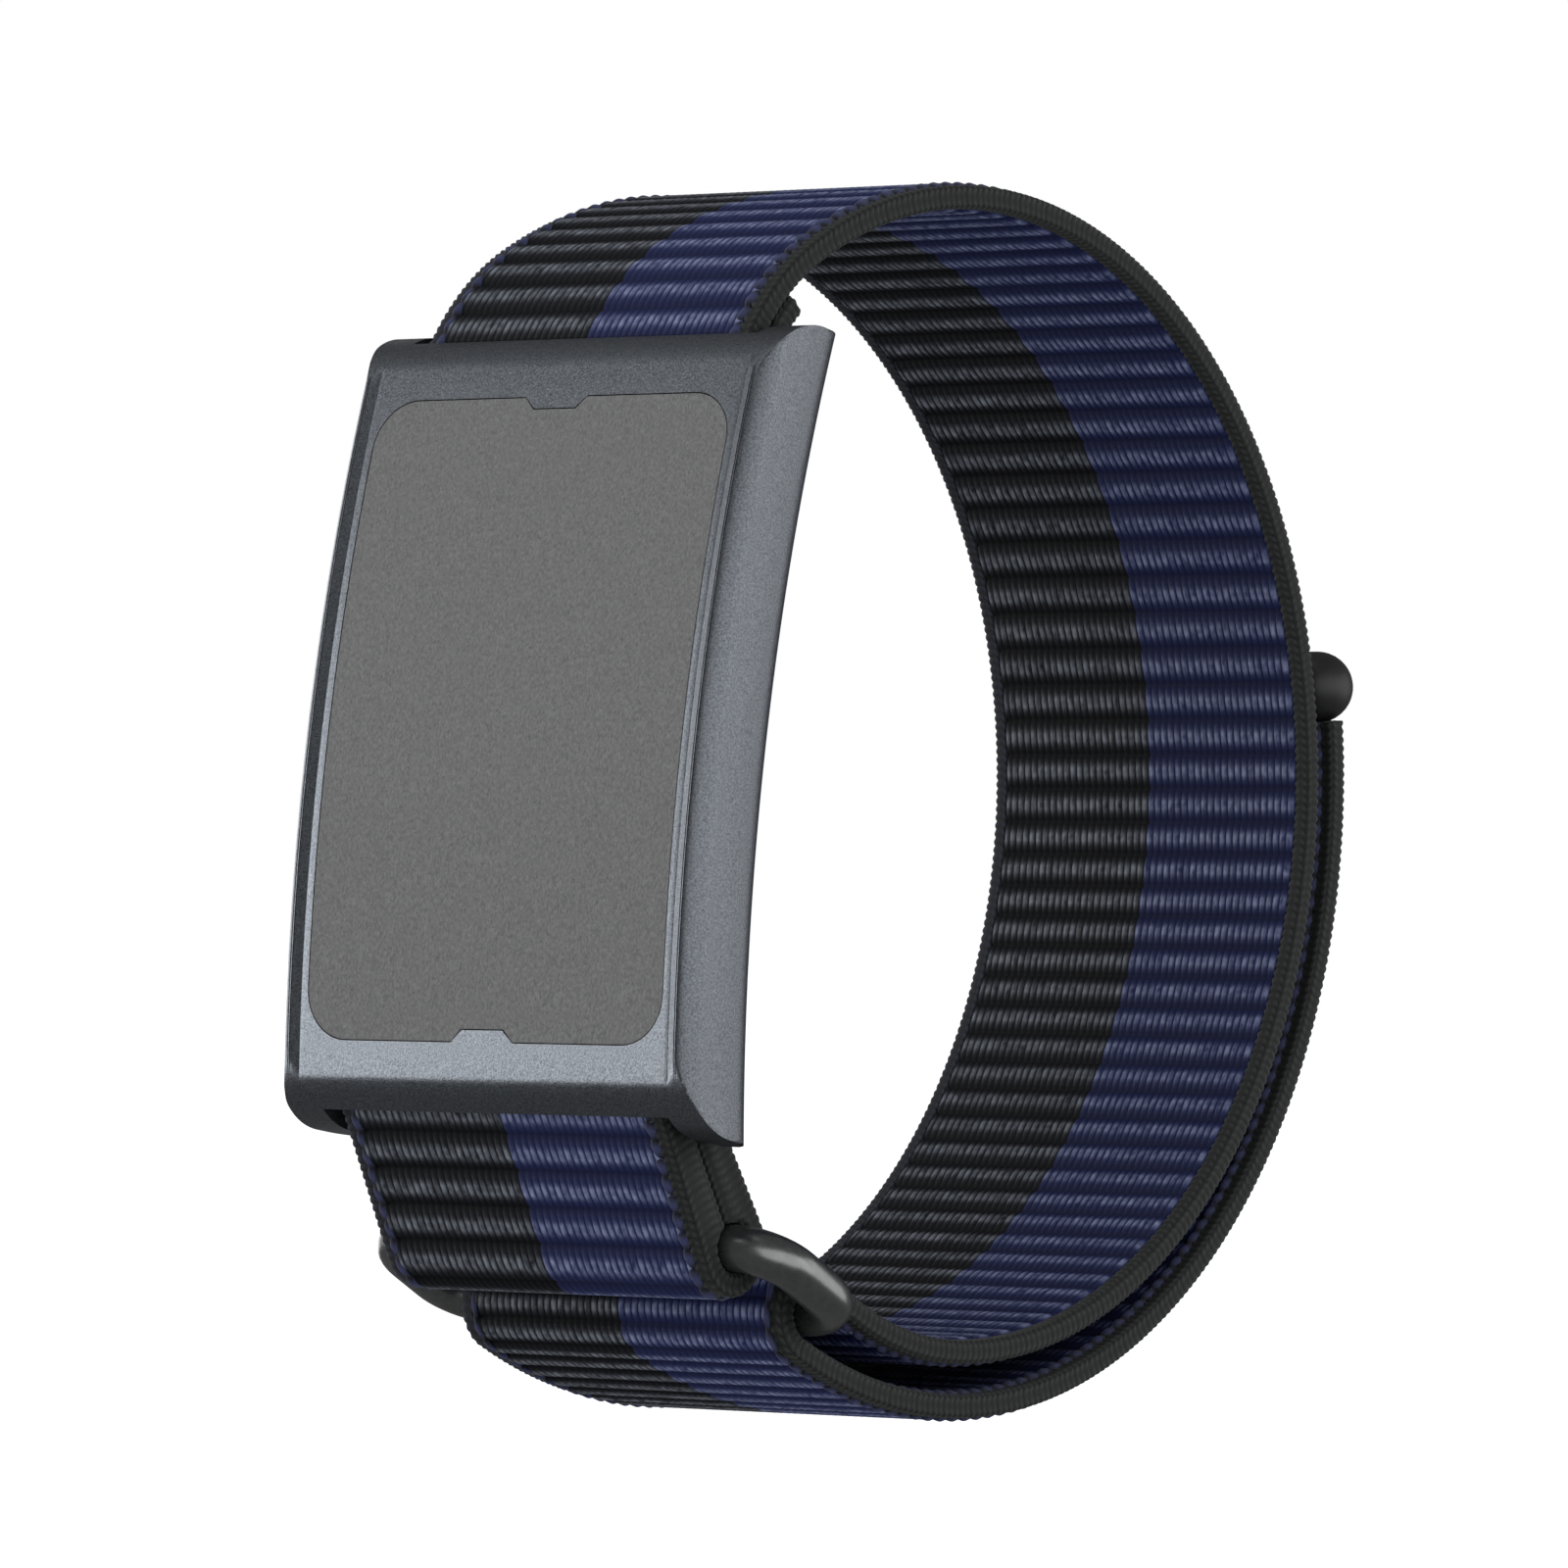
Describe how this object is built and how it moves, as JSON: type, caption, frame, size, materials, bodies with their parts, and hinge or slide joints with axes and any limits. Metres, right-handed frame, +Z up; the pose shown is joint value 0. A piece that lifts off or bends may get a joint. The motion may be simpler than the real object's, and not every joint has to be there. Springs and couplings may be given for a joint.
{
  "type": "fitness tracker band",
  "caption": "Screenless fitness tracker: curved metal carrier with a sensor module, on a ribbed webbing loop strap closed through an oval ring with a hook-and-loop tail.",
  "frame": {"origin": "centre of the wrist, at the middle of the band's width", "axes": "+X along the wrist, towards the near edge of the strap; the case faces -Y, leaning back about ten degrees; +Z up"},
  "size_m": [0.0266, 0.0595, 0.0609],
  "materials": {
    "case_metal": "fine bead-blasted slate grey anodising",
    "panel_skin": "matte fine leather grain",
    "gasket": "matte",
    "module_plastic": "fine texture",
    "cover_plastic": "satin",
    "battery_foil": "satin foil",
    "board": "solder mask",
    "shield_metal": "brushed",
    "flex": "polyimide film",
    "steel": "satin",
    "optical_black": "matte",
    "sensor_glass": "dark polished",
    "led_green": "lens",
    "led_red": "lens",
    "photodiode": "polished die",
    "gold": "gold plated",
    "webbing": "ribbed two-colour weave, navy and charcoal",
    "binding": "knitted edge, charcoal",
    "loop_pile": "brushed loop pile",
    "hook_tape": "hook tape",
    "thread": "stitches",
    "ring_metal": "satin dark gunmetal",
    "pull_plastic": "soft matte"
  },
  "bodies": {
    "case": {"carrier_frame": "case_metal", "front_panel": "panel_skin", "panel_gasket": "gasket", "module_chassis": "module_plastic", "rear_cover": "cover_plastic", "battery_cell": "battery_foil", "main_board": "board", "shield_can": "shield_metal", "sensor_board": "board", "board_flex": "flex", "antenna_strip": "flex", "vibration_motor": "steel", "optical_barrier": "optical_black", "sensor_window": "sensor_glass", "led_left": "led_green", "led_middle": "led_red", "led_right": "led_green", "photodiode_top": "photodiode", "photodiode_bottom": "photodiode", "skin_thermistor": "steel", "charge_contact_left": "gold", "charge_contact_right": "gold", "cover_screw_tl": "steel", "cover_screw_tr": "steel", "cover_screw_bl": "steel", "cover_screw_br": "steel", "top_bar_tube": "steel", "top_bar_spring": "steel", "bottom_bar_tube": "steel", "bottom_bar_spring": "steel"},
    "strap": {"long_strap": "webbing", "strap_binding_near": "binding", "strap_binding_far": "binding", "loop_pile": "loop_pile", "sewn_end_stitching": "thread", "ring_fold": "webbing", "fold_binding_near": "binding", "fold_binding_far": "binding"},
    "tab": {"short_tab": "webbing", "tab_binding_near": "binding", "tab_binding_far": "binding", "tab_stitching": "thread"},
    "ring": {"oval_ring": "ring_metal"},
    "tail": {"tail_strap": "webbing", "tail_binding_near": "binding", "tail_binding_far": "binding", "hook_patch": "hook_tape", "pull_bar": "pull_plastic", "pull_bar_stitching": "thread"},
    "top_pin_near": {"top_pin_near": "steel"},
    "top_pin_far": {"top_pin_far": "steel"},
    "bottom_pin_near": {"bottom_pin_near": "steel"},
    "bottom_pin_far": {"bottom_pin_far": "steel"}
  },
  "joints": [
    {"name": "strap_hinge", "type": "hinge", "parent": "case", "child": "strap", "pos_m": [0, -0.01466, 0.02038], "axis": [1, 0, 0], "range_deg": [-1, 1]},
    {"name": "tab_hinge", "type": "hinge", "parent": "case", "child": "tab", "pos_m": [0, -0.02087, -0.01345], "axis": [1, 0, 0], "range_deg": [-7.73, 7.73]},
    {"name": "ring_swivel", "type": "hinge", "parent": "tab", "child": "ring", "pos_m": [0, -0.0166, -0.0214], "axis": [1, 0, 0], "range_deg": [-12.6, 12.6]},
    {"name": "tail_peel", "type": "hinge", "parent": "strap", "child": "tail", "pos_m": [0, -0.01063, -0.02475], "axis": [1, 0, 0], "range_deg": [-60, 0], "deforming": ["ring_fold", "fold_binding_near", "fold_binding_far"]},
    {"name": "top_pin_near_slide", "type": "slide", "parent": "case", "child": "top_pin_near", "axis": [-1, 0, 0], "range_m": [0, 0.0009], "stiffness_N_per_m": 300},
    {"name": "top_pin_far_slide", "type": "slide", "parent": "case", "child": "top_pin_far", "axis": [1, 0, 0], "range_m": [0, 0.0009], "stiffness_N_per_m": 300},
    {"name": "bottom_pin_near_slide", "type": "slide", "parent": "case", "child": "bottom_pin_near", "axis": [-1, 0, 0], "range_m": [0, 0.0009], "stiffness_N_per_m": 300},
    {"name": "bottom_pin_far_slide", "type": "slide", "parent": "case", "child": "bottom_pin_far", "axis": [1, 0, 0], "range_m": [0, 0.0009], "stiffness_N_per_m": 300}
  ],
  "couplings": [
    {"joint": "tab_hinge", "follows": "strap_hinge", "ratio": 7.7245},
    {"joint": "ring_swivel", "follows": "strap_hinge", "ratio": -12.576}
  ]
}
